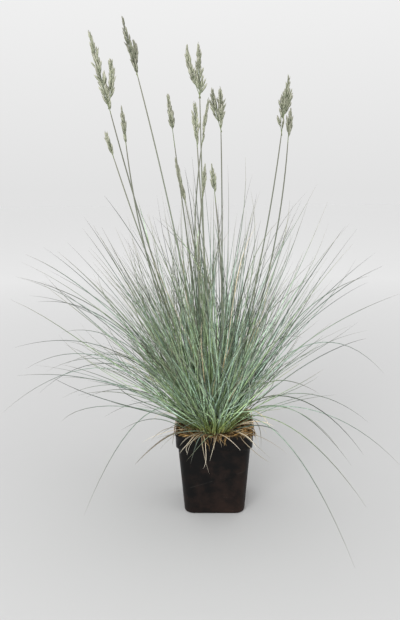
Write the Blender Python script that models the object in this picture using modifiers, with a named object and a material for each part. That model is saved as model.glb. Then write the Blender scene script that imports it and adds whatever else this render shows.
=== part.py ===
"""Potted blue fescue: leaf tufts and flowering stems fanning from one crown, in a square nursery pot.

Metres, +Z up. The origin is the centre of the pot's flat underside, and the pot's front faces -Y.
Azimuths are in degrees, counter-clockwise from +X. Leans are in degrees from upright.
"""

import math

import bmesh
import bpy
import numpy as np

PLANT = "potted_blue_fescue_clump"
GAP = 0.0003

# The pot: a tapered square wall with rounded corners, a stepped lip and a small bead round its rim.
POT_HEIGHT = 0.100
BOTTOM_WIDTH = 0.071
TOP_WIDTH = 0.084
LIP_HEIGHT = 0.016
LIP_STEP = 0.0022
LIP_FLARE = 0.0004
BEAD_STEP = 0.0006
BEAD_HEIGHT = 0.0018
WALL = 0.0010
CORNER_RADIUS = 0.011
CORNER_SEGMENTS = 6
FOOT_RADIUS = 0.002
DRAIN_RADIUS = 0.0045
DRAIN_SPACING = 0.022

# The peat that fills the pot, and the crown, a low dome on it from which every leaf grows. The clump
# was planted nearer to the pot's front than to its back.
SOIL_TOP = 0.0965
CROWN_Y = -0.016
CROWN_RADIUS = 0.022
CROWN_HEIGHT = 0.012
CROWN_SIDES = 20

# Green leaf tufts, in three rings: tufts, first azimuth, lean at the root, lean gained, length.
TUFT_RINGS = (
    (6, 50.0, 18.0, 13.0, 0.268),
    (8, 12.0, 32.0, 30.0, 0.262),
    (9, 20.0, 52.0, 44.0, 0.245),
)
TUFT_ROOT_RADIUS = 0.0020
TUFT_BELLY = 0.0026
TUFT_TIP_RADIUS = 0.0004
TUFT_POINTS = 9
FRONT_SHORTENING = 0.34
BACK_SHORTENING = 0.14
LEAN_SPREAD = 3.0
LENGTH_SPREAD = 0.06
TUFT_SEED = 7

# Dead leaves, in tufts that lie over the rim: azimuth, lean at the root, lean gained, length. They
# spring low on the crown, where its dome faces STRAW_ROOT_LEAN from upright.
STRAW_TUFTS = (
    (0.0, 76.0, 62.0, 0.084),
    (80.0, 76.0, 48.0, 0.090),
    (200.0, 76.0, 58.0, 0.088),
    (240.0, 75.0, 62.0, 0.074),
    (280.0, 74.0, 72.0, 0.064),
    (320.0, 75.0, 58.0, 0.078),
)
STRAW_ROOT_LEAN = 60.0
STRAW_ROOT_RADIUS = 0.0012
STRAW_BELLY = 0.0012
STRAW_POINTS = 8

# Flowering stems, in order round the crown. Each row gives the foot of the flower head (x, y, z),
# how far the head leans over to its tip (x), and the head's length and half width.
FLOWER_STEMS = (
    (0.0765, 0.012, 0.436, 0.007, 0.061, 0.0055),
    (0.0095, 0.034, 0.440, -0.001, 0.050, 0.0065),
    (-0.0125, 0.030, 0.426, 0.008, 0.052, 0.0030),
    (-0.0320, 0.035, 0.357, -0.012, 0.057, 0.0028),
    (-0.0430, 0.019, 0.423, -0.007, 0.058, 0.0035),
    (-0.1120, 0.014, 0.411, -0.009, 0.031, 0.0035),
    (-0.1110, -0.002, 0.457, -0.0205, 0.088, 0.0060),
    (-0.0140, 0.002, 0.475, -0.001, 0.055, 0.0070),
    (-0.0790, -0.012, 0.492, -0.015, 0.063, 0.0045),
    (-0.0930, -0.018, 0.421, -0.004, 0.043, 0.0025),
    (-0.0160, -0.050, 0.417, -0.003, 0.046, 0.0025),
    (-0.0120, -0.022, 0.365, 0.004, 0.038, 0.0032),
    (0.0025, -0.060, 0.362, -0.004, 0.039, 0.0025),
    (0.0810, -0.010, 0.424, 0.002, 0.036, 0.0045),
)
STEM_ROOT_RING = 0.0060
STEM_RADIUS = 0.0008
STEM_TOP_RADIUS = 0.0005
STEM_POINTS = 9
STEM_BOW = 0.5
HEAD_END_RADIUS = 0.0004
HEAD_POINTS = 7

# Colours, with roughness.
POT_BLACK = ((0.018, 0.016, 0.015), 0.55)
PEAT_BROWN = ((0.045, 0.028, 0.018), 0.95)
CROWN_OLIVE = ((0.150, 0.150, 0.060), 0.80)
LEAF_BLUE_GREEN = ((0.170, 0.230, 0.180), 0.60)
STRAW = ((0.330, 0.230, 0.120), 0.80)
STEM_GREEN = ((0.300, 0.330, 0.240), 0.60)
HEAD_OLIVE = ((0.330, 0.320, 0.220), 0.80)


def clear_scene():
    for item in list(bpy.data.objects):
        bpy.data.objects.remove(item)


def new_collection(name):
    collection = bpy.data.collections.new(name)
    bpy.context.scene.collection.children.link(collection)
    return collection


def principled(name, look):
    colour, roughness = look
    material = bpy.data.materials.new(name)
    material.use_nodes = True
    shader = material.node_tree.nodes["Principled BSDF"]
    shader.inputs["Base Color"].default_value = (*colour, 1.0)
    shader.inputs["Roughness"].default_value = roughness
    shader.inputs["Metallic"].default_value = 0.0
    return material


def object_from(mesh_maker, name, collection, look=None):
    """An object from a bmesh, given its own material where it has a look."""
    mesh = bpy.data.meshes.new(name)
    mesh_maker.to_mesh(mesh)
    mesh_maker.free()
    item = bpy.data.objects.new(name, mesh)
    if look is not None:
        mesh.materials.append(principled(name, look))
    collection.objects.link(item)
    return item


def direction(azimuth, lean):
    """The unit vector that leans by so many degrees from upright, towards an azimuth."""
    turn = np.radians(azimuth)
    tilt = np.radians(lean)
    return np.array([np.sin(tilt) * np.cos(turn), np.sin(tilt) * np.sin(turn), np.cos(tilt)])


# ---- the pot and its peat ----


def rounded_frustum(foot_z, head_z, foot_width, head_width):
    """A square frustum whose upright edges are rounded to one radius all the way up."""
    shape = bmesh.new()
    bmesh.ops.create_cube(shape, size=1.0)
    for corner in shape.verts:
        upper = corner.co.z > 0
        width = head_width if upper else foot_width
        corner.co.x *= width
        corner.co.y *= width
        corner.co.z = head_z if upper else foot_z
    uprights = [edge for edge in shape.edges if edge.verts[0].co.z != edge.verts[1].co.z]
    bmesh.ops.bevel(
        shape, geom=uprights, offset=CORNER_RADIUS, segments=CORNER_SEGMENTS, profile=0.5, affect="EDGES"
    )
    return shape


def round_foot(shape, radius):
    """Rounds the edge where the wall meets the floor."""
    lowest = min(corner.co.z for corner in shape.verts)
    ring = [edge for edge in shape.edges if all(abs(v.co.z - lowest) < GAP for v in edge.verts)]
    bmesh.ops.bevel(shape, geom=ring, offset=radius, segments=2, profile=0.5, affect="EDGES")


def grow_edge(shape, edges, rise, outset):
    """Extrudes an open ring of edges up by rise and out by outset, and returns the new ring."""
    grown = bmesh.ops.extrude_edge_only(shape, edges=edges)["geom"]
    corners = [item for item in grown if isinstance(item, bmesh.types.BMVert)]
    half_width = max(corner.co.x for corner in corners)
    for corner in corners:
        corner.co.x *= 1 + outset / half_width
        corner.co.y *= 1 + outset / half_width
        corner.co.z += rise
    return [item for item in grown if isinstance(item, bmesh.types.BMEdge)]


def make_pot(parts, cutters):
    """The wall and lip are one open skin, given its thickness inwards and drilled for drainage."""
    lip_foot = POT_HEIGHT - LIP_HEIGHT
    skin = rounded_frustum(0.0, lip_foot, BOTTOM_WIDTH, TOP_WIDTH)
    round_foot(skin, FOOT_RADIUS)
    top = [face for face in skin.faces if all(abs(v.co.z - lip_foot) < GAP for v in face.verts)]
    bmesh.ops.delete(skin, geom=top, context="FACES_ONLY")
    edge = [item for item in skin.edges if item.is_boundary]
    edge = grow_edge(skin, edge, 0.3 * LIP_STEP, LIP_STEP)
    edge = grow_edge(skin, edge, LIP_HEIGHT - 0.3 * LIP_STEP - BEAD_HEIGHT, LIP_FLARE)
    edge = grow_edge(skin, edge, 0.0, BEAD_STEP)
    grow_edge(skin, edge, BEAD_HEIGHT, 0.0)
    bmesh.ops.recalc_face_normals(skin, faces=skin.faces)
    pot = object_from(skin, "pot", parts, POT_BLACK)
    wall = pot.modifiers.new("wall", "SOLIDIFY")
    wall.thickness = WALL
    wall.offset = -1.0
    wall.use_even_offset = True
    drains = pot.modifiers.new("drains", "BOOLEAN")
    drains.operation = "DIFFERENCE"
    drains.solver = "EXACT"
    drains.object = make_drain_cutter(cutters)
    return pot


def make_drain_cutter(cutters):
    """Eight upright pegs, on a square round the middle of the floor."""
    pegs = bmesh.new()
    for column in (-1, 0, 1):
        for row in (-1, 0, 1):
            if column == 0 and row == 0:
                continue
            made = bmesh.ops.create_cone(
                pegs,
                cap_ends=True,
                segments=12,
                radius1=DRAIN_RADIUS,
                radius2=DRAIN_RADIUS,
                depth=6 * WALL,
            )
            bmesh.ops.translate(
                pegs, verts=made["verts"], vec=(column * DRAIN_SPACING, row * DRAIN_SPACING, 0.0)
            )
    cutter = object_from(pegs, "drain_cutter", cutters)
    cutter.hide_render = True
    cutter.display_type = "WIRE"
    return cutter


def wall_width(height):
    """The pot's outer width at a height below its lip."""
    return BOTTOM_WIDTH + (TOP_WIDTH - BOTTOM_WIDTH) * height / (POT_HEIGHT - LIP_HEIGHT)


def make_soil(parts):
    foot = WALL + GAP
    clearance = 2 * (WALL + GAP) * 1.02
    block = rounded_frustum(foot, SOIL_TOP, wall_width(foot) - clearance, wall_width(SOIL_TOP) - clearance)
    round_foot(block, FOOT_RADIUS)
    return object_from(block, "soil", parts, PEAT_BROWN)


# ---- the crown and what grows from it ----


def crown_point(azimuth, lean, lift):
    """The point lift above the crown's dome where the dome faces the given direction."""
    out = math.sin(math.radians(lean)) * CROWN_RADIUS**2
    up = math.cos(math.radians(lean)) * CROWN_HEIGHT**2
    size = math.hypot(out / CROWN_RADIUS, up / CROWN_HEIGHT)
    turn = math.radians(azimuth)
    foot = np.array([out * math.cos(turn) / size, out * math.sin(turn) / size, up / size])
    return foot + np.array([0.0, CROWN_Y, SOIL_TOP + GAP]) + lift * direction(azimuth, lean)


def crown_lean(ring):
    """How far the dome's face leans at a distance ring from its axis."""
    return math.degrees(math.atan(math.tan(math.asin(ring / CROWN_RADIUS)) * CROWN_HEIGHT / CROWN_RADIUS))


def make_crown(parts):
    """The upper half of a flattened ball, cut flat where it sits on the peat."""
    dome = bmesh.new()
    bmesh.ops.create_uvsphere(dome, u_segments=CROWN_SIDES, v_segments=CROWN_SIDES // 2, radius=1.0)
    for corner in dome.verts:
        corner.co.x *= CROWN_RADIUS
        corner.co.y = corner.co.y * CROWN_RADIUS + CROWN_Y
        corner.co.z = corner.co.z * CROWN_HEIGHT + SOIL_TOP + GAP
    cut = bmesh.ops.bisect_plane(
        dome,
        geom=list(dome.verts) + list(dome.edges) + list(dome.faces),
        plane_co=(0.0, 0.0, SOIL_TOP + GAP),
        plane_no=(0.0, 0.0, 1.0),
        clear_inner=True,
    )
    rim = [item for item in cut["geom_cut"] if isinstance(item, bmesh.types.BMEdge)]
    bmesh.ops.contextual_create(dome, geom=rim)
    bmesh.ops.recalc_face_normals(dome, faces=dome.faces)
    return object_from(dome, "crown", parts, CROWN_OLIVE)


def rod(name, points, radii, parts, look):
    """A tube along points, with its own radius at each one and closed ends."""
    curve = bpy.data.curves.new(name, "CURVE")
    curve.dimensions = "3D"
    curve.bevel_depth = 1.0
    curve.bevel_resolution = 1
    curve.use_fill_caps = True
    curve.resolution_u = 1
    curve.render_resolution_u = 0
    path = curve.splines.new("POLY")
    path.points.add(len(points) - 1)
    for point, place, radius in zip(path.points, points, radii):
        point.co = (*place, 1.0)
        point.radius = radius
    curve.materials.append(principled(name, look))
    item = bpy.data.objects.new(name, curve)
    parts.objects.link(item)
    return item


def drooping_path(root, azimuth, lean, gain, length, count):
    """A leaf's line: from the root, its lean grows with the distance along it."""
    share = (np.arange(count - 1) + 0.5) / (count - 1)
    steps = np.array([direction(azimuth, lean + gain * part**1.3) for part in share])
    steps *= length / (count - 1)
    return np.vstack([root, root + np.cumsum(steps, axis=0)])


def tuft_radii(root_radius, belly, count):
    """Slim at the root, fullest before the middle, and drawn out to a fine tip."""
    along = np.linspace(0.0, 1.0, count)
    swell = belly * np.sin(np.pi * along**0.8)
    return root_radius + (TUFT_TIP_RADIUS - root_radius) * along + swell


def make_leaf_tufts(parts):
    random = np.random.default_rng(TUFT_SEED)
    number = 0
    for count, first, root_lean, gain, length in TUFT_RINGS:
        for place in range(count):
            number += 1
            azimuth = first + place * 360.0 / count
            facing = math.sin(math.radians(azimuth))
            trim = FRONT_SHORTENING * max(0.0, -facing) + BACK_SHORTENING * max(0.0, facing)
            reach = length * (1.0 - trim * root_lean / 52.0) * (1 + random.uniform(-1, 1) * LENGTH_SPREAD)
            bend = gain + random.uniform(-1, 1) * LEAN_SPREAD
            root = crown_point(azimuth, root_lean, GAP)
            path = drooping_path(root, azimuth, root_lean, bend, reach, TUFT_POINTS)
            radii = tuft_radii(TUFT_ROOT_RADIUS, TUFT_BELLY, TUFT_POINTS)
            rod(f"leaf_tuft_{number:02d}", path, radii, parts, LEAF_BLUE_GREEN)


def make_straw_tufts(parts):
    for number, (azimuth, lean, gain, length) in enumerate(STRAW_TUFTS, start=1):
        root = crown_point(azimuth, STRAW_ROOT_LEAN, GAP + STRAW_ROOT_RADIUS / 2)
        path = drooping_path(root, azimuth, lean, gain, length, STRAW_POINTS)
        radii = tuft_radii(STRAW_ROOT_RADIUS, STRAW_BELLY, STRAW_POINTS)
        rod(f"straw_tuft_{number:02d}", path, radii, parts, STRAW)


def stem_path(root, foot, lean_in):
    """A quadratic Bezier line from the crown to the head's foot, which it meets along lean_in."""
    handle = foot - lean_in * STEM_BOW * np.linalg.norm(foot - root)
    along = np.linspace(0.0, 1.0, STEM_POINTS)[:, None]
    return root * (1 - along) ** 2 + handle * 2 * along * (1 - along) + foot * along**2


def make_flower_stems(parts):
    count = len(FLOWER_STEMS)
    ring_lean = crown_lean(STEM_ROOT_RING)
    for number, (x, y, z, nod, length, half_width) in enumerate(FLOWER_STEMS, start=1):
        azimuth = (number - 1) * 360.0 / count
        root = crown_point(azimuth, ring_lean, GAP + STEM_RADIUS / 2)
        foot = np.array([x, y, z])
        rise = math.sqrt(length**2 - nod**2)
        heading = np.array([nod, 0.0, rise]) / length
        path = stem_path(root, foot, heading)
        radii = np.linspace(STEM_RADIUS, STEM_TOP_RADIUS, STEM_POINTS)
        rod(f"flower_stem_{number:02d}", path, radii, parts, STEM_GREEN)
        make_flower_head(f"flower_head_{number:02d}", foot, heading, length, half_width, parts)


def make_flower_head(name, foot, heading, length, half_width, parts):
    """A spindle on the end of its stem, widest below the middle."""
    along = np.linspace(0.0, 1.0, HEAD_POINTS)
    path = foot + heading * (GAP + (length - GAP) * along[:, None])
    swell = np.maximum(np.sin(np.pi * along**0.8), 0.0)
    radii = HEAD_END_RADIUS + (half_width - HEAD_END_RADIUS) * swell
    rod(name, path, radii, parts, HEAD_OLIVE)


def main():
    clear_scene()
    parts = new_collection(PLANT)
    cutters = new_collection("cutters")
    make_pot(parts, cutters)
    make_soil(parts)
    make_crown(parts)
    make_leaf_tufts(parts)
    make_straw_tufts(parts)
    make_flower_stems(parts)


main()
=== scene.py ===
# %% [markdown]
# # A potted blue fescue clump
#
# Blue fescue is a small tufted grass with needle-thin, blue-green leaves. A nursery sells it in a square
# black pot. This lesson dresses a measured model of one: the model holds the sizes, and every cell below
# replaces a plain solid of it with a surface as fine as the real piece.
#
# Nearly everything on the plant is a long thin strand, so one helper that skins strands does most of the
# work. What makes it look like grass is how the strands are drawn: how they lean, bend, thin out and age.

# %% Load the measured model
import itertools
import math

import bpy
import numpy as np
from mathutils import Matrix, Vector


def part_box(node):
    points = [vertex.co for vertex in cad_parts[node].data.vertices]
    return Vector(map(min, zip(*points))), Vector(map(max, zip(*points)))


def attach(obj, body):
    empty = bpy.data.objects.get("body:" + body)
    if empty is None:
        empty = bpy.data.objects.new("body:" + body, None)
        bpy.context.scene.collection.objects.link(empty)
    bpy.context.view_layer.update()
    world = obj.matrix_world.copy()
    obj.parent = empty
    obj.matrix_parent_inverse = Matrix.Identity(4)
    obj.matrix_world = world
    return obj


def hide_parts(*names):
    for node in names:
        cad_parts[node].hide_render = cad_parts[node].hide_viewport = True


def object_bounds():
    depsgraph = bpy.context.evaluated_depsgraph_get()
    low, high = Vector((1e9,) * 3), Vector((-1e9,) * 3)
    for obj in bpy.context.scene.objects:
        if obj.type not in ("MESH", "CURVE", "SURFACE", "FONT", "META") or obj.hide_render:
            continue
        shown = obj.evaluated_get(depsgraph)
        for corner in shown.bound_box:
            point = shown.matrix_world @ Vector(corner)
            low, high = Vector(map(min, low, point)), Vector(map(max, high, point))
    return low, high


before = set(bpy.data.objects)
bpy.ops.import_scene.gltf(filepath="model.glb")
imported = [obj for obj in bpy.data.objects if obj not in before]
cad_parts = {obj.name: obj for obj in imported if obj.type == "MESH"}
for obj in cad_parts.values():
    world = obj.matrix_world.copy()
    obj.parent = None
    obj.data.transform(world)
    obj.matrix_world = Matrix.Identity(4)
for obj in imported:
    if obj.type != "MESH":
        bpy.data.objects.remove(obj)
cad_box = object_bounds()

print("nodes:", len(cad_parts), "box:", [tuple(round(v, 3) for v in corner) for corner in cad_box])

# %% [markdown]
# The camera looks slightly down on the pot from a little under seven tenths of a metre away, at the
# height of the leaf tips. A lens near 35 mm keeps the whole plant in an upright picture. It comes first,
# because every later choice of detail depends on how near the viewer stands.

# %% Camera
CAMERA_PLACE = (-0.002, -0.685, 0.375)
CAMERA_DOWN = 11.3
CAMERA_LEFT = 1.05
CAMERA_ROLL = 0.5
LENS = 34.95


def add_camera():
    """Euler angles: a level camera is tipped down from 90 degrees, rolled, then turned left about Z."""
    data = bpy.data.cameras.new("camera")
    data.lens = LENS
    data.sensor_width = 36.0
    data.clip_start = 0.01
    camera = bpy.data.objects.new("camera", data)
    camera.location = CAMERA_PLACE
    tip = math.radians(90.0 - CAMERA_DOWN)
    camera.rotation_euler = (tip, math.radians(CAMERA_ROLL), math.radians(CAMERA_LEFT))
    bpy.context.scene.collection.objects.link(camera)
    bpy.context.scene.camera = camera


add_camera()
bpy.context.scene.view_settings.view_transform = "Standard"
print("camera at", CAMERA_PLACE)

# %% [markdown]
# The next helpers build finishes. A finish is a small network of nodes: a number that varies over the
# piece goes in, and a ramp turns it into a colour. The even values sit on the shader itself, so that
# someone who repaints the piece finds them in the usual place.

# %% Material helpers


def new_material(name, roughness, specular=0.3):
    """A Principled material with its even values set on the shader, and its node tree."""
    material = bpy.data.materials.new(name)
    material.use_nodes = True
    shader = material.node_tree.nodes["Principled BSDF"]
    shader.inputs["Roughness"].default_value = roughness
    shader.inputs["Specular IOR Level"].default_value = specular
    return material, material.node_tree, shader


def add_number(tree, layer):
    """The socket that gives a named number kept at the mesh's points."""
    reader = tree.nodes.new("ShaderNodeAttribute")
    reader.attribute_name = layer
    return reader.outputs["Fac"]


def add_ramp(tree, source, stops):
    """A colour ramp: stops are (share, colour) pairs, where a colour is three numbers or one grey."""
    ramp = tree.nodes.new("ShaderNodeValToRGB")
    band = ramp.color_ramp
    while len(band.elements) < len(stops):
        band.elements.new(0.5)
    for element, (share, colour) in zip(band.elements, stops):
        element.position = share
        element.color = (*colour, 1.0) if isinstance(colour, tuple) else (colour, colour, colour, 1.0)
    tree.links.new(source, ramp.inputs["Fac"])
    return ramp.outputs["Color"]


def add_place(tree):
    """The socket that gives a point's place in the object's own coordinates, in metres."""
    return tree.nodes.new("ShaderNodeTexCoord").outputs["Object"]


def add_noise(tree, scale, detail=3.0, roughness=0.55):
    """Fractal noise with so many lumps to the metre."""
    noise = tree.nodes.new("ShaderNodeTexNoise")
    noise.inputs["Scale"].default_value = scale
    noise.inputs["Detail"].default_value = detail
    noise.inputs["Roughness"].default_value = roughness
    tree.links.new(add_place(tree), noise.inputs["Vector"])
    return noise.outputs["Fac"]


def add_chance(tree, source):
    """A random number from 0 to 1 that depends only on the source number."""
    grain = tree.nodes.new("ShaderNodeTexWhiteNoise")
    grain.noise_dimensions = "1D"
    tree.links.new(source, grain.inputs["W"])
    return grain.outputs["Value"]


print("sources of a number:", [item.__name__ for item in (add_number, add_noise, add_chance)])

# %% [markdown]
# A finish adds, multiplies and mixes such numbers. Each of these nodes takes either a plain value or the
# output of another node at a socket. One small function hides that difference, so that the finishes below
# read like sums.

# %% Mixing helpers


def feed(tree, socket, value):
    """Gives a socket its input: another socket is linked, and a plain value is set."""
    if isinstance(value, bpy.types.NodeSocket):
        tree.links.new(value, socket)
    else:
        socket.default_value = value


def add_math(tree, operation, first, second=0.0):
    """Arithmetic on two numbers, each a value or a socket."""
    node = tree.nodes.new("ShaderNodeMath")
    node.operation = operation
    feed(tree, node.inputs[0], first)
    feed(tree, node.inputs[1], second)
    return node.outputs["Value"]


def add_mix(tree, share, first, second, blend="MIX"):
    """Two colours mixed by a share, each a value or a socket."""
    mix = tree.nodes.new("ShaderNodeMix")
    mix.data_type = "RGBA"
    mix.blend_type = blend
    sockets = {item.identifier: item for item in mix.inputs}
    feed(tree, sockets["Factor_Float"], share)
    feed(tree, sockets["A_Color"], first)
    feed(tree, sockets["B_Color"], second)
    return next(item for item in mix.outputs if item.identifier == "Result_Color")


def add_product(tree, first, second):
    """Two colours multiplied, channel by channel."""
    return add_mix(tree, 1.0, first, second, "MULTIPLY")


def add_bump(tree, shader, height, distance):
    """Bump of so many metres of relief from a height socket."""
    bump = tree.nodes.new("ShaderNodeBump")
    bump.inputs["Distance"].default_value = distance
    tree.links.new(height, bump.inputs["Height"])
    tree.links.new(bump.outputs["Normal"], shader.inputs["Normal"])


print("mixing helpers:", [item.__name__ for item in (add_math, add_mix, add_product, add_bump)])

# %% [markdown]
# A nursery photographs its plants on a pale bench under soft light. A wide floor does that here. Its grey
# fades into the pale backdrop with distance, so that no hard line crosses the picture behind the leaves.
# The sky is a pale grey that lightens with height. A broad lamp beside the viewer lights the front, and a
# weak one on the right keeps that side from going dull.

# %% Floor, sky and lamps
FLOOR_HALF = 14.0
FADE_REACH = 2.0
BENCH_GREY = 0.57
FAR_GREY = 0.84
HORIZON_GREY = 0.76
ZENITH_GREY = 0.90
LAMP_AIM = (0.0, 0.0, 0.2)


def floor_material():
    """The distance from the pot, as a share of FADE_REACH, picks a grey from bench to backdrop."""
    material, tree, shader = new_material("bench_grey", 0.9, 0.1)
    far = tree.nodes.new("ShaderNodeVectorMath")
    far.operation = "LENGTH"
    tree.links.new(add_place(tree), far.inputs[0])
    share = add_math(tree, "DIVIDE", far.outputs["Value"], FADE_REACH)
    grey = add_ramp(tree, share, ((0.05, BENCH_GREY), (1.0, FAR_GREY)))
    tree.links.new(grey, shader.inputs["Base Color"])
    return material


def add_floor():
    """A square sheet at the height of the pot's underside."""
    half = FLOOR_HALF
    corners = [(-half, -half, 0.0), (half, -half, 0.0), (half, half, 0.0), (-half, half, 0.0)]
    mesh = bpy.data.meshes.new("floor")
    mesh.from_pydata(corners, [], [(0, 1, 2, 3)])
    mesh.materials.append(floor_material())
    floor = bpy.data.objects.new("floor", mesh)
    bpy.context.scene.collection.objects.link(floor)


def add_sky():
    """The height of the direction looked in picks a grey from horizon to zenith."""
    world = bpy.data.worlds.new("studio")
    world.use_nodes = True
    tree = world.node_tree
    split = tree.nodes.new("ShaderNodeSeparateXYZ")
    tree.links.new(tree.nodes.new("ShaderNodeTexCoord").outputs["Generated"], split.inputs["Vector"])
    grey = add_ramp(tree, split.outputs["Z"], ((0.0, HORIZON_GREY), (0.35, ZENITH_GREY)))
    tree.links.new(grey, tree.nodes["Background"].inputs["Color"])
    bpy.context.scene.world = world


def add_lamp(name, place, size, power):
    """A square lamp at a place, turned so that its -Z axis points at LAMP_AIM."""
    data = bpy.data.lights.new(name, "AREA")
    data.size = size
    data.energy = power
    lamp = bpy.data.objects.new(name, data)
    lamp.location = place
    heading = np.array(LAMP_AIM) - np.array(place)
    tip = math.atan2(math.hypot(heading[0], heading[1]), -heading[2])
    turn = math.atan2(heading[1], heading[0]) - math.pi / 2
    lamp.rotation_euler = (tip, 0.0, turn)
    bpy.context.scene.collection.objects.link(lamp)


add_floor()
add_sky()
add_lamp("front_lamp", (-0.7, -2.2, 1.3), 1.6, 40.0)
add_lamp("side_lamp", (1.9, -0.9, 1.5), 1.4, 3.0)

# %% [markdown]
# Every leaf, stalk and scale is a strand: a line in space with a small section round it. The helpers below
# skin any number of strands in one go. They work on whole arrays, so a thousand leaves cost no more code
# than one. Four sides are enough for a leaf, because smooth shading rounds them at this size.

# %% Strands


def unit(vectors):
    """Each vector divided by its own length."""
    return vectors / np.maximum(np.linalg.norm(vectors, axis=-1, keepdims=True), 1e-12)


def strand_rings(lines, side, half_width, half_depth, corners):
    """Corners round each point of each line: half_width * cos along the side vector and half_depth * sin
    along the vector square to it, where the side vector first loses its part along the line."""
    heading = unit(np.gradient(lines, axis=1))
    side = unit(side - (side * heading).sum(axis=2, keepdims=True) * heading)
    face = np.cross(heading, side)
    turn = np.arange(corners) * 2 * np.pi / corners
    wide = (side * half_width[..., None])[:, :, None, :] * np.cos(turn)[:, None]
    deep = (face * half_depth[..., None])[:, :, None, :] * np.sin(turn)[:, None]
    return lines[:, :, None, :] + wide + deep


def strand_faces(count, stations, corners):
    """Quads that join ring to ring, and a fan of quads that closes each end, all facing outwards."""
    index = np.arange(count * stations * corners).reshape(count, stations, corners)
    here, there = index[:, :-1], index[:, 1:]
    walls = np.stack([here, np.roll(here, -1, 2), np.roll(there, -1, 2), there], axis=-1)
    faces = [walls.reshape(-1, 4)]
    for first in range(1, corners - 1, 2):
        cap = [0, first, first + 1, first + 2]
        faces += [index[:, 0][:, cap[::-1]], index[:, -1][:, cap]]
    return np.concatenate(faces)


print("faces of one four-sided strand of ten rings:", len(strand_faces(1, 10, 4)))

# %% [markdown]
# A skin becomes a piece of the plant when it has a mesh, a finish, the body that carries it, and the names
# of the plain solids that it replaces. The mesh also keeps two numbers at each point for the finishes: the
# share of the way along the strand, and the strand's own tone.

# %% Pieces


def mesh_of(name, points, faces, layers=None):
    """A smooth mesh from points and lists of corners, with named numbers kept at its points."""
    mesh = bpy.data.meshes.new(name)
    mesh.from_pydata(points.reshape(-1, 3), [], faces, shade_flat=False)
    for layer, values in (layers or {}).items():
        mesh.attributes.new(layer, "FLOAT", "POINT").data.foreach_set("value", values.ravel())
    return mesh


def add_piece(name, mesh, material, node_names):
    """An object of a finished mesh with its finish, riding on the plant in place of the named solids."""
    mesh.name = name
    mesh.materials.clear()
    mesh.materials.append(material)
    piece = bpy.data.objects.new(name, mesh)
    bpy.context.scene.collection.objects.link(piece)
    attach(piece, "root")
    if node_names:
        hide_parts(*node_names)
    return piece


def add_strands(name, lines, side, half_width, half_depth, tone, material, node_names, corners=4):
    """Skins the lines. Each point keeps its share of the way along, and each strand keeps its own tone."""
    count, stations = lines.shape[:2]
    side = np.broadcast_to(side, lines.shape)
    rings = strand_rings(lines, side, half_width, half_depth, corners)
    shape = (count, stations, corners)
    along = np.broadcast_to(np.linspace(0.0, 1.0, stations)[None, :, None], shape)
    layers = {"along": along.astype(np.float32),
              "tone": np.broadcast_to(tone[:, None, None], shape).astype(np.float32)}
    mesh = mesh_of(name, rings, strand_faces(count, stations, corners).tolist(), layers)
    return add_piece(name, mesh, material, node_names)


def faces_of(*pieces):
    """How many faces the pieces have together."""
    return sum(len(piece.data.polygons) for piece in pieces)


print("faces of the plain solids:", faces_of(*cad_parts.values()))

# %% [markdown]
# The measured model already says where each bundle of leaves runs. Its solids are rods, made of rings of
# six corners. Sorting the corners by their distance from the root brings each ring together, and the
# middle of each ring is a point on the bundle's line.

# %% Read the rods' lines from the model
ROD_CORNERS = 6
CROWN_LOW, CROWN_HIGH = (np.array(corner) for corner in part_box("crown"))
CROWN_RADIUS = CROWN_HIGH[0]
HEART = np.array([0.0, (CROWN_LOW[1] + CROWN_HIGH[1]) / 2, CROWN_LOW[2]])


def corners_of(node):
    """The separate corners of a node, as rows of x, y, z."""
    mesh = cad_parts[node].data
    flat = np.zeros(len(mesh.vertices) * 3, np.float32)
    mesh.vertices.foreach_get("co", flat)
    return np.unique(flat.reshape(-1, 3).round(6), axis=0).astype(float)


def spine_of(node):
    """The rod's line from root to tip: the middles of its rings, found by distance from the root."""
    corners = corners_of(node)
    first = corners[np.linalg.norm(corners - HEART, axis=1).argsort()[:ROD_CORNERS]].mean(axis=0)
    order = np.linalg.norm(corners - first, axis=1).argsort()
    return corners[order].reshape(-1, ROD_CORNERS, 3).mean(axis=1)


def smooth_line(points, stations):
    """A cubic in the share along the line, fitted to the points one coordinate at a time."""
    fit = np.polynomial.polynomial.polyfit(np.linspace(0, 1, len(points)), points, 3)
    return np.polynomial.polynomial.polyval(np.linspace(0, 1, stations), fit).T


def bundle_facts(node):
    """Azimuth, lean at the root, lean gained by the tip, length, and root point, in radians and metres."""
    spine = spine_of(node)
    steps = np.diff(spine, axis=0)
    leans = np.arctan2(np.linalg.norm(steps[:, :2], axis=1), steps[:, 2])
    reach = spine[-1] - spine[0]
    azimuth = math.atan2(reach[1], reach[0])
    return azimuth, leans[0], leans[-1] - leans[0], np.linalg.norm(steps, axis=1).sum(), spine[0]


def names_like(stem):
    """The names of the model's nodes that start with a stem, in order."""
    return sorted(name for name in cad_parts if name.startswith(stem))


TUFTS = names_like("leaf_tuft")
print("leaf bundles:", len(TUFTS), "first:", [round(float(v), 2) for v in bundle_facts(TUFTS[0])[:4]])
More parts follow.
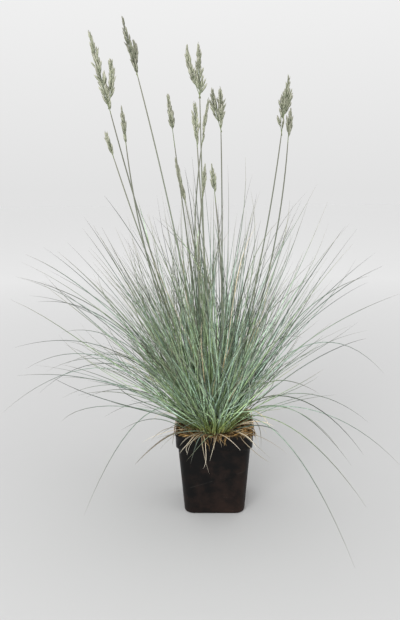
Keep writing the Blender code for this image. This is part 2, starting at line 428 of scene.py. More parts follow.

# %% [markdown]
# Leaf colour is a finish that runs along each strand. The foot of a fescue leaf is yellow-green where its
# sheath hides it from the light. The blade has a waxy bloom that turns green to blue-grey, and the tip
# dries to straw. Each leaf also has its own tone, and a few are dead. The tone also picks a brightness. In
# the clump that brightness spreads so wide that it paints some blades as lit highlights and others as
# shaded. The leaves that stand or hang clear of the clump get a darker, narrower brightness without those
# painted highlights. Colour ramps on the strand's own numbers say all that, and they follow the leaf
# however it bends.

# %% Leaf finish
LEAF_BLUE = ((0.0, (0.29, 0.32, 0.09)), (0.14, (0.150, 0.220, 0.09)), (0.38, (0.385, 0.535, 0.42)),
             (0.56, (0.325, 0.44, 0.36)), (0.74, (0.175, 0.225, 0.185)), (1.0, (0.20, 0.185, 0.145)))
LEAF_GREEN = ((0.0, (0.35, 0.37, 0.10)), (0.14, (0.185, 0.245, 0.08)), (0.38, (0.40, 0.53, 0.265)),
              (0.56, (0.325, 0.43, 0.24)), (0.74, (0.17, 0.215, 0.13)), (1.0, (0.21, 0.19, 0.12)))
LEAF_DEAD = ((0.0, (0.30, 0.20, 0.09)), (0.5, (0.38, 0.31, 0.19)), (1.0, (0.42, 0.37, 0.27)))
DEAD_FROM = 0.95
LEAF_GRAIN = 260.0


def add_blend(tree, share, first, second):
    """Two ramps along the strand, mixed by a share."""
    along = add_number(tree, "along")
    return add_mix(tree, share, add_ramp(tree, along, first), add_ramp(tree, along, second))


def add_tone_and_painted_light(tree, colour, stops):
    """The colour times a brightness: a random number made from the strand's tone picks it on a ramp. With
    the clump's wide stops it also paints lit and shaded blades.
    """
    return add_product(tree, colour, add_ramp(tree, add_chance(tree, add_number(tree, "tone")), stops))


def leaf_material(name, brightness):
    """Tone 0 is blue-grey, a tone near DEAD_FROM is green, and above it the leaf is straw. The brightness
    stops lighten or darken the whole leaf, and where they spread wide they paint highlighted and shaded
    blades. Fine noise gives it a grain."""
    material, tree, shader = new_material(name, 0.5, 0.35)
    tone = add_number(tree, "tone")
    greenness = add_ramp(tree, tone, ((0.25, 0.0), (DEAD_FROM, 1.0)))
    deadness = add_ramp(tree, tone, ((DEAD_FROM, 0.0), (DEAD_FROM + 0.01, 1.0)))
    dead = add_ramp(tree, add_number(tree, "along"), LEAF_DEAD)
    colour = add_mix(tree, deadness, add_blend(tree, greenness, LEAF_BLUE, LEAF_GREEN), dead)
    grain = add_ramp(tree, add_noise(tree, LEAF_GRAIN), ((0.3, 0.62), (0.7, 1.32)))
    colour = add_product(tree, add_tone_and_painted_light(tree, colour, brightness), grain)
    tree.links.new(colour, shader.inputs["Base Color"])
    return material


# The clump's leaves get a very wide brightness spread, which paints some blades as lit highlights and some
# as shaded.
LEAF = leaf_material("fescue_leaf", ((0.0, 0.12), (0.35, 0.80), (0.75, 1.72), (1.0, 2.2)))
OUTER_LEAF = leaf_material("fescue_leaf_outer", ((0.0, 0.22), (0.5, 0.60), (1.0, 1.15)))
print("leaf finishes:", LEAF.name, OUTER_LEAF.name)

# %% [markdown]
# Fescue leaves grow in bundles, but no two follow the same line. Each blade starts near its bundle's root
# and copies its lean, its droop and its length with a little chance in each. Its lean grows with the
# distance along it, as in a thin rod that bends under its own weight. The lean is summed along the
# blade to give its points, and a slow wave turns it a little to either side.

# %% Leaf lines
BLADE_STATIONS = 14
BOX_MARGIN = 0.012
LOWEST_LEAF = 0.004
MAX_LEAN = 2.5
RNG = np.random.default_rng(20)


def drooping_lines(roots, azimuth, lean, gain, length, stations, sway):
    """Points of many leaves: the lean is lean + gain * share^1.3, up to MAX_LEAN, and the azimuth is
    azimuth + sway * share^2. Each step goes length / steps in that direction, and the steps are summed
    from the root."""
    share = (np.arange(stations - 1) + 0.5) / (stations - 1)
    leans = np.minimum(lean[:, None] + gain[:, None] * share**1.3, MAX_LEAN)
    turns = azimuth[:, None] + sway[:, None] * share**2
    steps = np.stack([np.sin(leans) * np.cos(turns), np.sin(leans) * np.sin(turns), np.cos(leans)], axis=2)
    steps *= (length / (stations - 1))[:, None, None]
    start = roots[:, None, :]
    return np.concatenate([start, start + np.cumsum(steps, axis=1)], axis=1)


def waver(lines, reach):
    """Adds a slow sideways wave in a random direction, a part of the reach times
    share * (sin(turns * share + start) - sin(start))."""
    count, stations = lines.shape[:2]
    share = np.linspace(0.0, 1.0, stations)[None, :]
    turns = RNG.uniform(2.5, 6.5, (count, 1))
    start = RNG.uniform(0, 2 * np.pi, (count, 1))
    wave = share * (np.sin(turns * share + start) - np.sin(start))
    wave = wave * reach * RNG.uniform(0.2, 1.0, (count, 1))
    return lines + wave[..., None] * unit(RNG.normal(0, 1, (count, 1, 3)))


def keep_inside(lines):
    """Each line is shortened towards its root until its furthest point is inside the model's box."""
    low = np.array(cad_box[0]) - BOX_MARGIN
    high = np.array(cad_box[1]) + BOX_MARGIN
    low[2] = LOWEST_LEAF
    roots = lines[:, :1]
    span = lines - roots
    with np.errstate(divide="ignore", invalid="ignore"):
        room = np.where(span > 0, (high - roots) / span, np.where(span < 0, (low - roots) / span, np.inf))
    scale = np.minimum(room.min(axis=(1, 2)), 1.0)
    return roots + span * scale[:, None, None]


print("a leaf line has", BLADE_STATIONS, "points, and none is lower than", LOWEST_LEAF)

# %% [markdown]
# A fescue leaf is rolled up lengthwise, so it is nearly as deep as it is wide. It is slim where it leaves
# the sheath and ends in a sharp point. Each leaf's wider side faces up or down, tilted a little by chance.

# %% Leaf skins
BLADE_HALF_WIDTH = 0.00048
BLADE_HALF_DEPTH = 0.00036


def blade_widths(stations, half):
    """Half width along each blade: a little slim at the foot, even, then drawn to a point."""
    share = np.linspace(0.0, 1.0, stations)
    profile = np.minimum(1.0, 0.75 + share * 2.0) * np.clip(1.0 - share**5, 0.08, 1.0)
    return half[:, None] * profile[None, :]


def side_vectors(azimuth, tilt):
    """One horizontal vector square to each azimuth, tilted up or down by chance."""
    count = len(azimuth)
    return np.stack([-np.sin(azimuth), np.cos(azimuth), RNG.normal(0, tilt, count)], axis=1)[:, None, :]


def add_blades(name, lines, azimuth, half, node_names, tone, finish):
    """Skins leaf lines as blades that are a little wider than they are deep."""
    count, stations = lines.shape[:2]
    widths = blade_widths(stations, half)
    depths = widths * BLADE_HALF_DEPTH / BLADE_HALF_WIDTH
    sides = side_vectors(azimuth, 0.4)
    return add_strands(name, lines, sides, widths, depths, tone, finish, node_names)


print("a leaf's section in mm:", round(2000 * BLADE_HALF_WIDTH, 2), "by", round(2000 * BLADE_HALF_DEPTH, 2))

# %% [markdown]
# A bundle is then so many blades along one rod of the model. Its plan depends on how much the rod leans.
# Upright bundles are thick and make the heart of the clump. The ones in between are thick too, and they
# keep closer together. The low ones are a few loose old leaves that hang over the pot. The list gives for
# each plan the lean up to which it holds, the number of blades, how far they spread in azimuth, and the
# ranges of droop and length as shares of the rod's own.

# %% Leaf bundles
LOOSE_LEAN = 44.0
BLADE_PLANS = (
    (24.0, 76, 38.0, (-0.7, 1.9), (0.25, 0.84, 1.22)),
    (LOOSE_LEAN, 72, 26.0, (-0.3, 0.9), (0.30, 0.54, 1.06)),
    (90.0, 6, 16.0, (0.4, 1.3), (0.45, 0.75, 1.05)),
)
LEAN_SCATTER = 9.5
SWAY = 42.0
WAVER = 0.018
LOOSE_WAVER = 0.006
ROOT_PATCH = 0.0055
ROOT_DEPTH = 0.003
ROOTS_DRAWN_IN = (0.92, 0.92, 0.8)
DEAD_SHARE = 1 / 90


def root_scatter(root, count):
    """Points scattered evenly over a round level patch just below a root."""
    reach = ROOT_PATCH * np.sqrt(RNG.uniform(0, 1, count))
    turn = RNG.uniform(0, 2 * np.pi, count)
    level = np.full(count, -ROOT_DEPTH)
    return root + np.stack([reach * np.cos(turn), reach * np.sin(turn), level], axis=1)


def live_tone(count, greener):
    """Tones of so many leaves: a few are dead, and the rest run from blue to green."""
    tone = np.clip(RNG.uniform(0, 0.94, count) + greener, 0, 0.94)
    return np.where(RNG.uniform(0, 1, count) < DEAD_SHARE, 0.98, tone)


def add_leaf_bundle(node, count, spread, droop, lengths):
    """One bundle: blades round the node's line. Bundles that lean to the left have more blades, and
    greener ones."""
    azimuth, lean, gain, length, root = bundle_facts(node)
    loose = math.degrees(lean) > LOOSE_LEAN
    leftness = -math.cos(azimuth)
    count = round(count * (1 + leftness * math.sin(lean)))
    turns = azimuth + np.radians(RNG.normal(0, spread, count))
    leans = np.maximum(lean * 0.94 + np.radians(RNG.normal(0, LEAN_SCATTER, count)), 0.02)
    gains = gain * RNG.uniform(*droop, count)
    sway = np.radians(RNG.normal(0, SWAY, count))
    roots = root_scatter(HEART + (root - HEART) * np.array(ROOTS_DRAWN_IN), count)
    sizes = length * RNG.triangular(*lengths, count)
    lines = drooping_lines(roots, turns, leans, gains, sizes, BLADE_STATIONS, sway)
    lines = keep_inside(waver(lines, LOOSE_WAVER if loose else WAVER))
    half = BLADE_HALF_WIDTH * RNG.uniform(0.8, 1.35, count)
    tone = live_tone(count, 0.25 * max(0.0, leftness))
    finish = OUTER_LEAF if loose else LEAF
    return add_blades(node.replace("leaf_tuft", "leaf_blades"), lines, turns, half, [node], tone, finish)


def blade_plan(node):
    """The plan of a bundle: the first one whose lean isn't passed."""
    lean = math.degrees(bundle_facts(node)[1])
    return next(plan[1:] for plan in BLADE_PLANS if lean < plan[0])


bundles = [add_leaf_bundle(node, *blade_plan(node)) for node in TUFTS]
print("blades:", faces_of(*bundles) // (BLADE_STATIONS * 4 - 2))

# %% [markdown]
# The longest leaves stand clear of the bundles, and they draw the plant's outline. Each one is a curve with
# three control points: the crown, the tip, and a point above the middle. The higher that middle point, the
# more the leaf arches over. The list gives each tip in centimetres from the pot's foot, then that height.

# %% Outer blades
OUTER_STATIONS = 18
OUTER_ROOT_DEPTH = 0.004
OUTER_TIPS = (
    (-22.9, 2, 29.7, 6.5), (-21.2, -2, 29.7, 5), (-21, 4, 26.6, 4), (-21.4, 0, 25.6, 7),
    (-18.1, 5, 31.5, 3), (-16.1, 6, 33, 2), (-13.1, 0, 32.8, 2), (-11.9, -3, 33.7, 2),
    (-23.8, 0, 19.3, 9), (-19.5, 6, 19.7, 8), (-20.8, 3, 15.5, 9), (-24.2, 2, 15, 4),
    (-24.6, -3, 12.3, 12.5), (-20.8, 0, 13.3, 11), (-20, 3, 30.5, 4), (-22.4, -1, 28.2, 6),
    (-19.3, 1, 28.6, 5), (-17.2, -2, 30.8, 3), (-15, 2, 34, 2), (-14, -1, 31.5, 3),
    (-23.3, 3, 27.3, 7), (-22, 5, 23.9, 8), (-17.5, -1, 17.5, 8), (-21.5, -2, 17.2, 9),
    (-18.8, 2, 12.3, 6.5), (-14.7, -3, 14.1, 5), (-12.6, -4, 12.4, 4), (-13.5, -12, 5.1, 12),
    (17, 3, 33, 1), (17.7, 0, 27.7, 7), (19, 5, 26.2, 5), (21.5, 0, 26, 4),
    (11.2, 5, 35.8, 1), (9.4, -2, 33.8, 1), (5.4, 4, 36.2, 0.5), (10.5, 0, 20.5, 7),
    (20.7, 2, 15.4, 13), (18.9, 3, 8.6, 7.6), (13.7, 5, 11.8, 7), (16.3, -6, 8.8, 10),
    (20.7, -6, 7.2, 9), (14.7, -4, 7.3, 8), (14.9, -14, 6.9, 9), (12.8, -16, 2.2, 12),
    (18.6, 1, 30.2, 3), (20.2, 3, 28.4, 5), (14.6, -1, 33.4, 1), (16.8, -3, 6, 9),
)


def bow_lines(roots, tips, bows, stations):
    """Curves of three control points: (1-t)^2 * root + 2t(1-t) * middle + t^2 * tip, where the middle is
    halfway between root and tip and raised by the bow."""
    share = np.linspace(0.0, 1.0, stations)[None, :, None]
    middle = (roots + tips) / 2
    middle[:, 2] += bows
    near, over, far = (1 - share) ** 2, 2 * share * (1 - share), share**2
    return near * roots[:, None] + over * middle[:, None] + far * tips[:, None]


def around_heart(reach, turns, level):
    """Points about the crown's axis: so far out, at these azimuths, at this height."""
    level = np.broadcast_to(level, reach.shape)
    return np.stack([reach * np.cos(turns), HEART[1] + reach * np.sin(turns), level], axis=1)


def add_outer_blades():
    """One blade for each listed tip, from a root on the crown's side that faces the tip."""
    table = np.array(OUTER_TIPS) / 100
    tips, bows = table[:, :3], table[:, 3]
    count = len(tips)
    turns = np.arctan2(tips[:, 1], tips[:, 0])
    roots = around_heart(RNG.uniform(0.004, 0.014, count), turns, CROWN_HIGH[2] - OUTER_ROOT_DEPTH)
    lines = keep_inside(waver(bow_lines(roots, tips, bows, OUTER_STATIONS), LOOSE_WAVER))
    half = BLADE_HALF_WIDTH * RNG.uniform(1.0, 1.55, count)
    return add_blades("outer_blades", lines, turns, half, [], RNG.uniform(0, 0.9, count), OUTER_LEAF)


outer = add_outer_blades()
print("outer blades:", len(OUTER_TIPS), "faces:", faces_of(outer))

# %% [markdown]
# The pot is thin black plastic: four flat walls that taper down, round corners, and a plain lip that steps
# out and ends in a rolled bead. One outline goes round it, a square with round corners, and one profile
# goes up the outside and down the inside. The outline comes first. A bevel could round the corners too, but
# with an outline every ring of the shell has the same number of points, and they join up by themselves.

# %% Pot outline
CORNER_STEPS = 8
SIDE_STEPS = 14


def outline():
    """A square with round corners, once round: rows of (core x, core y, normal x, normal y). The core
    walks a square from -1 to 1, and the normal turns a quarter circle at each corner."""
    turn = np.linspace(0.0, np.pi / 2, CORNER_STEPS + 1)
    arc = np.stack([np.ones_like(turn), np.ones_like(turn), np.cos(turn), np.sin(turn)], axis=1)
    walk = np.linspace(1.0, -1.0, SIDE_STEPS + 1)[1:-1]
    side = np.stack([walk, np.ones_like(walk), np.zeros_like(walk), np.ones_like(walk)], axis=1)
    quarter = np.concatenate([arc, side])
    quarters = []
    for _ in range(4):
        quarters.append(quarter)
        quarter = np.stack([-quarter[:, 1], quarter[:, 0], -quarter[:, 3], quarter[:, 2]], axis=1)
    return np.concatenate(quarters)


print("points round the outline:", len(outline()))

# %% [markdown]
# Every point of the shell is an outline point grown or shrunk to a width of the profile. The walls bow out
# by a hair in the middle, as soft plastic does when it is full. The list gives the points of the rolled
# bead in tenths of a millimetre, outwards and upwards from the top of the lip.

# %% Pot shell
POT_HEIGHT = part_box("pot")[1].z
BOTTOM_HALF = 0.0355
TOP_HALF = 0.0420
LIP_HALF = 0.0442
LIP_FOOT = 0.084
WALL = 0.0010
FLOOR_THICK = 0.0012
POT_CORNER = 0.011
CORNER_SHARE = 0.31
SIDE_BOW = 0.00035
BEAD = ((4, -20), (9, -16), (10, -8), (6, -1), (1, 0), (-4, -2), (-7, -12))


def profile():
    """Rows of (half width, height, corner radius): up the outside, over the bead, and down the inside. The
    radius is POT_CORNER, or CORNER_SHARE of the half width where that is less."""
    tall = np.linspace(0.003, LIP_FOOT - 0.0006, 22)
    wall = BOTTOM_HALF + (TOP_HALF - BOTTOM_HALF) * tall / LIP_FOOT
    foot = [(BOTTOM_HALF - 0.0020, 0.0), (BOTTOM_HALF - 0.0007, 0.0005), (BOTTOM_HALF, 0.0018)]
    outside = foot + list(zip(wall, tall))
    lip = [(TOP_HALF + 0.0002, LIP_FOOT - 0.0002), (LIP_HALF - 0.0004, LIP_FOOT),
           (LIP_HALF, LIP_FOOT + 0.0004), (LIP_HALF + 0.0002, LIP_FOOT + 0.005)]
    lip += [(LIP_HALF + out / 10000, POT_HEIGHT + up / 10000) for out, up in BEAD]
    inside = [(LIP_HALF - WALL, LIP_FOOT + 0.001)]
    inside += [(half - WALL, height) for half, height in zip(wall[-2::-4], tall[-2::-4]) if height > 0.006]
    inside += [(BOTTOM_HALF - WALL, 0.004), (BOTTOM_HALF - WALL - 0.002, FLOOR_THICK)]
    rows = np.array(outside + lip + inside)
    return np.column_stack([rows, np.minimum(POT_CORNER, rows[:, 0] * CORNER_SHARE)])


def shell_points():
    """Each point is core * (half - radius) + normal * radius, plus a bow of the wall: a cosine across the
    side times a sine up the height."""
    around, rows = outline(), profile()
    half, height, radius = rows[:, 0, None], rows[:, 1, None], rows[:, 2, None]
    flat = np.abs(around[:, :2]).min(axis=1)
    across = np.cos(flat * np.pi / 2) * (np.abs(around[:, 2:]).max(axis=1) > 0.999)
    swell = SIDE_BOW * across[None, :] * np.sin(np.pi * np.clip(height / POT_HEIGHT, 0, 1))
    x = around[None, :, 0] * (half - radius) + around[None, :, 2] * (radius + swell)
    y = around[None, :, 1] * (half - radius) + around[None, :, 3] * (radius + swell)
    return np.stack([x, y, np.broadcast_to(height, x.shape)], axis=2)


def tube_mesh(name, points):
    """Quads between neighbouring rings, and one flat face on the first ring and on the last."""
    rings, around = points.shape[:2]
    index = np.arange(rings * around).reshape(rings, around)
    here, there = index[:-1], index[1:]
    quads = np.stack([here, np.roll(here, -1, 1), np.roll(there, -1, 1), there], axis=-1).reshape(-1, 4)
    faces = quads.tolist() + [index[0, ::-1].tolist(), index[-1].tolist()]
    return mesh_of(name, points, faces)


print("rings of the shell:", len(profile()))

# %% [markdown]
# Water leaves through holes in the floor. They are cut with one Boolean, and the cut is made final so that
# the mesh is plain. The drills are eight upright strands with many corners, set where the model has its
# holes, so the strand helpers make them.

# %% Drain holes
DRAIN_RADIUS = 0.0045
DRAIN_SPACING = 0.022
DRAIN_SIDES = 24
DRILL_REACH = 0.003


def drill_mesh():
    """Eight upright cylinders on a three by three square without its middle."""
    spots = [(i, j, 0) for i in (-1, 0, 1) for j in (-1, 0, 1) if (i, j) != (0, 0)]
    middles = np.array(spots)[:, None, :] * DRAIN_SPACING
    lines = middles + np.array([[0, 0, -DRILL_REACH], [0, 0, DRILL_REACH]])
    radius = np.full((len(spots), 2), DRAIN_RADIUS)
    side = np.broadcast_to(np.array([1.0, 0.0, 0.0]), lines.shape)
    rings = strand_rings(lines, side, radius, radius, DRAIN_SIDES)
    return mesh_of("drills", rings, strand_faces(len(spots), 2, DRAIN_SIDES).tolist())


def cut_holes(mesh):
    """The mesh with the drills taken away, as a new mesh."""
    body = bpy.data.objects.new("shell", mesh)
    drills = bpy.data.objects.new("drills", drill_mesh())
    for item in (body, drills):
        bpy.context.scene.collection.objects.link(item)
    cut = body.modifiers.new("holes", "BOOLEAN")
    cut.operation = "DIFFERENCE"
    cut.solver = "EXACT"
    cut.object = drills
    graph = bpy.context.evaluated_depsgraph_get()
    result = bpy.data.meshes.new_from_object(body.evaluated_get(graph))
    for item in (body, drills):
        bpy.data.objects.remove(item)
    return result


print("eight holes, each", 2000 * DRAIN_RADIUS, "mm across")

# %% [markdown]
# Pots that have stood in a nursery are never clean black. Dried peat leaves a brown film, thickest at the
# foot and a little thicker on the right of this one, with fine specks in it. A faint pale scratch crosses
# the front. The film, the specks and the scratch are three masks, and each lays its colour on the last.

# %% Pot finish
# The first colour is darker than black plastic: it also paints the shade that the leaves cast on the pot.
PLASTIC_BLACK_AND_PAINTED_SHADE = (0.0018, 0.0015, 0.0015, 1.0)
DUST_BROWN = (0.030, 0.0155, 0.0110, 1.0)
SPECK_BROWN = (0.06, 0.045, 0.036, 1.0)
SCRATCH_GREY = (0.06, 0.055, 0.05, 1.0)
SCRATCH_SLOPE = 0.33
SCRATCH_HEIGHT = 0.044


def dust_mask(tree, x, z):
    """Half of 2.4 * noise + 4 * x - 7 * z, with x and z in metres, on a ramp."""
    right, low = add_math(tree, "MULTIPLY", x, 4.0), add_math(tree, "MULTIPLY", z, 7.0)
    fall = add_math(tree, "SUBTRACT", right, low)
    lumps = add_math(tree, "MULTIPLY", add_noise(tree, 70.0, 6.0, 0.65), 2.4)
    film = add_math(tree, "MULTIPLY", add_math(tree, "ADD", lumps, fall), 0.5)
    return add_ramp(tree, film, ((0.34, 0.0), (1.0, 1.0)))


def scratch_mask(tree, x, z):
    """A band within 0.7 mm of the line z = SCRATCH_HEIGHT + SCRATCH_SLOPE * x, broken up by noise."""
    slant = add_math(tree, "SUBTRACT", z, add_math(tree, "MULTIPLY", x, SCRATCH_SLOPE))
    band = add_math(tree, "ABSOLUTE", add_math(tree, "SUBTRACT", slant, SCRATCH_HEIGHT))
    line = add_ramp(tree, add_math(tree, "MULTIPLY", band, 1000.0), ((0.0, 0.35), (0.7, 0.0)))
    return add_product(tree, line, add_ramp(tree, add_noise(tree, 90.0), ((0.45, 0.0), (0.6, 1.0))))


def pot_material():
    """Black plastic darkened as painted shade, then the dust, the specks and the scratch. Dust is rougher
    than plastic.
    """
    material, tree, shader = new_material("nursery_plastic", 0.42, 0.18)
    split = tree.nodes.new("ShaderNodeSeparateXYZ")
    tree.links.new(add_place(tree), split.inputs["Vector"])
    x, z = split.outputs["X"], split.outputs["Z"]
    dust = dust_mask(tree, x, z)
    specks = add_ramp(tree, add_noise(tree, 520.0, 2.0), ((0.66, 0.0), (0.74, 1.0)))
    colour = add_mix(tree, dust, PLASTIC_BLACK_AND_PAINTED_SHADE, DUST_BROWN)
    colour = add_mix(tree, add_product(tree, specks, dust), colour, SPECK_BROWN)
    colour = add_mix(tree, scratch_mask(tree, x, z), colour, SCRATCH_GREY)
    tree.links.new(colour, shader.inputs["Base Color"])
    tree.links.new(add_ramp(tree, dust, ((0.0, 0.40), (1.0, 0.75))), shader.inputs["Roughness"])
    add_bump(tree, shader, add_noise(tree, 900.0, 2.0), 0.00004)
    return material


pot_mesh = cut_holes(tube_mesh("shell", shell_points()))
pot = add_piece("nursery_pot", pot_mesh, pot_material(), ["pot"])
print("pot faces:", faces_of(pot), "height:", round(max(v.co.z for v in pot.data.vertices), 4))

# %% [markdown]
# Peat fills the pot to just below its rim. Its top is a crumbly crust, higher round the crown. The crust is
# a set of rounded squares, one inside the other, lifted by sums of sine waves that look random. The block
# below it keeps its plain shape, since nobody sees it, and gets the same finish.

# %% Peat crust
PEAT_LEVEL = 0.0972
PEAT_HALF = 0.0430
CRUST_RINGS = 30
CRUST_DEPTH = 0.0028
MOUND_HEIGHT = 0.0020
MOUND_REACH = 0.02
BUMP_HEIGHT = 0.0007
BUMP_WAVES = 40
PEAT_BROWNS = ((0.35, (0.010, 0.006, 0.004)), (0.55, (0.040, 0.023, 0.013)), (0.75, (0.10, 0.060, 0.034)))


def bumps(x, y):
    """A sum of sine waves of random direction and phase, with wavelengths from 3 to 20 mm; longer waves
    are taller."""
    random = np.random.default_rng(3)
    turn = random.uniform(0, 2 * np.pi, BUMP_WAVES)
    length = random.uniform(0.003, 0.020, BUMP_WAVES)
    phase = random.uniform(0, 2 * np.pi, BUMP_WAVES)
    along = x[..., None] * np.cos(turn) + y[..., None] * np.sin(turn)
    waves = np.sin(2 * np.pi * along / length + phase) * length
    return BUMP_HEIGHT * waves.sum(axis=-1) / np.sqrt((length**2).sum())


def crust_height(x, y):
    """The peat's level, plus a mound at the crown that falls off as a bell curve, plus bumps."""
    near = np.exp(-(x**2 + (y - HEART[1]) ** 2) / MOUND_REACH**2)
    return PEAT_LEVEL + MOUND_HEIGHT * near + bumps(x, y)


def peat_material():
    """Fine noise picks one of three browns, and finer noise roughens the surface."""
    material, tree, shader = new_material("moist_peat", 0.95, 0.15)
    brown = add_ramp(tree, add_noise(tree, 420.0, 6.0, 0.7), PEAT_BROWNS)
    tree.links.new(brown, shader.inputs["Base Color"])
    add_bump(tree, shader, add_noise(tree, 700.0, 5.0, 0.7), 0.0006)
    return material


PEAT = peat_material()


def crust_points():
    """Rings of the outline from rim to middle over the crust height, above a level ring as its foot."""
    around = outline()
    share = np.linspace(1.0, 0.04, CRUST_RINGS)[:, None]
    radius = POT_CORNER * share
    x = around[None, :, 0] * (PEAT_HALF * share - radius) + around[None, :, 2] * radius
    y = around[None, :, 1] * (PEAT_HALF * share - radius) + around[None, :, 3] * radius
    top = np.stack([x, y, crust_height(x, y)], axis=2)
    foot = top[:1].copy()
    foot[..., 2] = PEAT_LEVEL - CRUST_DEPTH
    return np.concatenate([foot, top])


crust = add_piece("peat_crust", tube_mesh("crust", crust_points()), PEAT, [])
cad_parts["soil"].data.materials.clear()
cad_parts["soil"].data.materials.append(PEAT)
print("crust faces:", faces_of(crust))

# %% [markdown]
# Crumbs of peat lie on the crust. A crumb is a ball of twenty triangles that has been squashed and dented
# by chance. At a millimetre or two across it needs no finer shape, and all crumbs are one piece.

# %% Peat crumbs
CRUMBS = 420
CRUMB_CORNERS = 12
CRUMB_SPREAD = 0.041
CRUMB_LIFT = 0.0003


def ball():
    """The solid with twenty triangles. Its corners are (0, 1, golden) with all signs, turned through the
    three axes. Three corners are a face where all are neighbours, 2 apart, and it is turned outwards."""
    gold = (1 + 5**0.5) / 2
    base = np.array([(0, -1, -gold), (0, -1, gold), (0, 1, -gold), (0, 1, gold)])
    points = np.concatenate([base, np.roll(base, -1, axis=1), np.roll(base, -2, axis=1)])
    near = np.linalg.norm(points[:, None] - points[None], axis=2) < 2.1
    first, second, third = np.array(list(itertools.combinations(range(CRUMB_CORNERS), 3))).T
    face = near[first, second] & near[second, third] & near[first, third]
    faces = np.stack([first, second, third], axis=1)[face]
    one, two, three = points[faces].transpose(1, 0, 2)
    inward = (np.cross(two - one, three - one) * one).sum(axis=1) < 0
    faces[inward] = faces[inward][:, [0, 2, 1]]
    return unit(points), faces


def add_crumbs():
    """Balls stretched by chance in x, y and z, dented by chance at each corner, and laid on the crust."""
    random = np.random.default_rng(5)
    shape, faces = ball()
    size = random.uniform(0.0004, 0.0013, (CRUMBS, 1, 3)) * np.array([1.0, 1.0, 0.7])
    dented = shape[None] * random.uniform(0.7, 1.15, (CRUMBS, CRUMB_CORNERS, 1)) * size
    x, y = random.uniform(-CRUMB_SPREAD, CRUMB_SPREAD, (CRUMBS, 2)).T
    place = np.stack([x, y, crust_height(x, y) + CRUMB_LIFT], axis=1)
    every = faces[None] + (np.arange(CRUMBS) * CRUMB_CORNERS)[:, None, None]
    mesh = mesh_of("crumbs", dented + place[:, None, :], every.reshape(-1, 3).tolist())
    return add_piece("peat_crumbs", mesh, PEAT, [])


crumbs = add_crumbs()
print("crumbs:", CRUMBS, "faces:", faces_of(crumbs))

# %% [markdown]
# Where the leaves meet the peat they are wrapped in short sheaths, packed into a dense olive neck. Outside
# them lie the worn sheaths of last year. Each sheath is a stubby strand that starts on the crown's dome and
# points out of it, so the neck widens like a sheaf.

# %% Crown
SHEATH = ((0.0, (0.20, 0.15, 0.05)), (0.25, (0.38, 0.35, 0.11)), (0.7, (0.38, 0.42, 0.15)),
          (1.0, (0.26, 0.34, 0.15)))
OLD_SHEATH = ((0.0, (0.07, 0.035, 0.015)), (0.5, (0.24, 0.14, 0.06)), (1.0, (0.36, 0.26, 0.15)))
SHEATHS = 420
SHEATH_STATIONS = 7
SHEATH_DEPTH = 0.002


def sheath_material():
    """Tone below 0.6 is a living olive sheath, and from there to 0.75 it turns into an old brown one."""
    material, tree, shader = new_material("leaf_sheath", 0.7, 0.25)
    old = add_ramp(tree, add_number(tree, "tone"), ((0.6, 0.0), (0.75, 1.0)))
    colour = add_tone_and_painted_light(tree, add_blend(tree, old, SHEATH, OLD_SHEATH), ((0.0, 0.6), (1.0, 1.4)))
    tree.links.new(colour, shader.inputs["Base Color"])
    return material


def add_sheaths():
    """Strands from the dome: the root's lean picks its place, and the strand leans 0.42 times as much."""
    lean = np.radians(RNG.triangular(0, 62, 88, SHEATHS))
    turn = RNG.uniform(0, 2 * np.pi, SHEATHS)
    rise = (CROWN_HIGH[2] - CROWN_LOW[2] - SHEATH_DEPTH) * np.cos(lean)
    roots = around_heart(CROWN_RADIUS * 0.9 * np.sin(lean), turn, CROWN_LOW[2] + rise - SHEATH_DEPTH)
    length = RNG.uniform(0.010, 0.030, SHEATHS) * (1.15 - lean / 2.2)
    start = lean * 0.42 + np.radians(RNG.normal(0, 7, SHEATHS))
    gain = np.radians(RNG.uniform(0, 25, SHEATHS))
    lines = drooping_lines(roots, turn, start, gain, length, SHEATH_STATIONS, np.zeros(SHEATHS))
    share = np.linspace(0, 1, SHEATH_STATIONS)[None, :]
    half = RNG.uniform(0.0007, 0.0013, SHEATHS)[:, None] * (1.0 - 0.55 * share**2)
    tone = np.clip(lean / 2.3 + RNG.normal(0, 0.18, SHEATHS), 0, 1)
    return add_strands("crown_sheaths", lines, side_vectors(turn, 0.3), half, half * 0.75, tone,
                       sheath_material(), ["crown"], corners=6)


sheaths = add_sheaths()
print("sheaths:", SHEATHS, "faces:", faces_of(sheaths))

# %% [markdown]
# Last year's leaves die back to straw. The newest dead ones are pale, and they arch over the rim like the
# live leaves. The oldest are short and orange-brown, and they mat on the peat. Pale and rusty straw share
# one finish, and broad noise darkens patches of the rusty mat.

# %% Straw finish
PALE_STRAW = ((0.0, (0.33, 0.22, 0.10)), (0.3, (0.64, 0.53, 0.37)), (1.0, (0.76, 0.70, 0.58)))
RUSTY_STRAW = ((0.0, (0.32, 0.17, 0.055)), (0.5, (0.46, 0.275, 0.10)), (1.0, (0.51, 0.36, 0.18)))


def straw_material():
    """Tone below 0.45 is rusty and above 0.6 pale. The rusty share is multiplied by the dark patches."""
    material, tree, shader = new_material("dead_leaf", 0.75, 0.2)
    pale = add_ramp(tree, add_number(tree, "tone"), ((0.45, 0.0), (0.6, 1.0)))
    colour = add_blend(tree, pale, RUSTY_STRAW, PALE_STRAW)
    colour = add_tone_and_painted_light(tree, colour, ((0.0, 0.18), (0.6, 0.75), (1.0, 1.6)))
    patch = add_ramp(tree, add_noise(tree, 75.0, 2.0), ((0.40, 0.25), (0.56, 1.2)))
    colour = add_mix(tree, pale, add_product(tree, colour, patch), colour)
    tree.links.new(colour, shader.inputs["Base Color"])
    return material


STRAW = straw_material()
print("straw finish:", STRAW.name)

